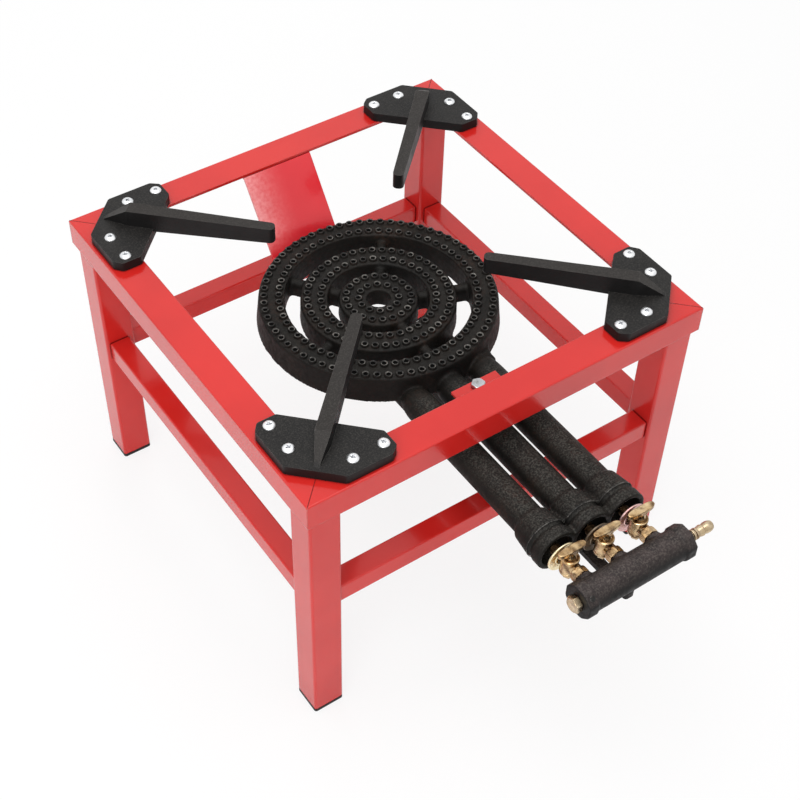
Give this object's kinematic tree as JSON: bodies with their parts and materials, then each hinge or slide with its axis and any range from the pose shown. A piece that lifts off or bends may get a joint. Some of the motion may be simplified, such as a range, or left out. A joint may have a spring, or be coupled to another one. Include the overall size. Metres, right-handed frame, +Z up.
{
  "type": "propane burner stand",
  "caption": "Square steel stand with cast-iron pan supports and a ring gas burner fed through brass taps from a gas rail.",
  "frame": {"origin": "on the floor, under the centre of the burner and of the square frame", "axes": "+Z up, -Y towards the mixing tubes and the gas rail, +X towards the hose nozzle"},
  "size_m": [0.4, 0.565, 0.3185],
  "materials": {
    "red_coat": "glossy red powder coat",
    "cast_iron": "matt black enamel on cast iron",
    "burner_iron": "raw dark casting",
    "rail_iron": "dark brownish black casting",
    "zinc_screw": "bright zinc",
    "zinc_bolt": "bright zinc",
    "brass_fitting": "turned brass",
    "brass_tap": "cast and turned brass",
    "shutter_metal": "plain pale metal disc",
    "black_plastic": "matt black"
  },
  "bodies": {
    "stand": {"top_rail_front": "red_coat", "lower_rail_front": "red_coat", "top_rail_right": "red_coat", "lower_rail_right": "red_coat", "top_rail_rear": "red_coat", "lower_rail_rear": "red_coat", "top_rail_left": "red_coat", "lower_rail_left": "red_coat", "leg_front_left": "red_coat", "foot_cap_front_left": "black_plastic", "pan_support_front_left": "cast_iron", "leg_front_right": "red_coat", "foot_cap_front_right": "black_plastic", "pan_support_front_right": "cast_iron", "leg_rear_right": "red_coat", "foot_cap_rear_right": "black_plastic", "pan_support_rear_right": "cast_iron", "leg_rear_left": "red_coat", "foot_cap_rear_left": "black_plastic", "pan_support_rear_left": "cast_iron", "pan_support_screws": "zinc_screw", "front_bracket": "red_coat", "rear_strap": "red_coat", "burner_casting": "burner_iron", "front_bolt": "zinc_bolt", "rear_bolt": "zinc_bolt", "rail_arm_screws": "zinc_bolt", "gas_rail": "rail_iron", "rail_arm": "rail_iron", "gas_rail_plug": "brass_fitting", "hose_nozzle": "brass_fitting", "tap_body_left": "brass_tap", "injector_left": "brass_tap", "tap_body_middle": "brass_tap", "injector_middle": "brass_tap", "tap_body_right": "brass_tap", "injector_right": "brass_tap"},
    "key_left": {"tap_key_left": "brass_tap", "key_washer_left": "brass_fitting", "key_nut_left": "brass_fitting"},
    "key_middle": {"tap_key_middle": "brass_tap", "key_washer_middle": "brass_fitting", "key_nut_middle": "brass_fitting"},
    "key_right": {"tap_key_right": "brass_tap", "key_washer_right": "brass_fitting", "key_nut_right": "brass_fitting"},
    "air_shutter_left": {"air_shutter_left": "shutter_metal"},
    "air_shutter_middle": {"air_shutter_middle": "shutter_metal"},
    "air_shutter_right": {"air_shutter_right": "shutter_metal"}
  },
  "joints": [
    {"name": "key_turn_left", "type": "hinge", "parent": "stand", "child": "key_left", "pos_m": [-0.035, -0.318, 0.235], "axis": [0, 0, 1], "range_deg": [0, 90]},
    {"name": "key_turn_middle", "type": "hinge", "parent": "stand", "child": "key_middle", "pos_m": [0, -0.318, 0.235], "axis": [0, 0, 1], "range_deg": [0, 90]},
    {"name": "key_turn_right", "type": "hinge", "parent": "stand", "child": "key_right", "pos_m": [0.035, -0.318, 0.235], "axis": [0, 0, 1], "range_deg": [0, 90]},
    {"name": "air_shutter_slide_left", "type": "slide", "parent": "stand", "child": "air_shutter_left", "axis": [0, 1, 0], "range_m": [0, 0.006]},
    {"name": "air_shutter_slide_middle", "type": "slide", "parent": "stand", "child": "air_shutter_middle", "axis": [0, 1, 0], "range_m": [0, 0.006]},
    {"name": "air_shutter_slide_right", "type": "slide", "parent": "stand", "child": "air_shutter_right", "axis": [0, 1, 0], "range_m": [0, 0.006]}
  ]
}
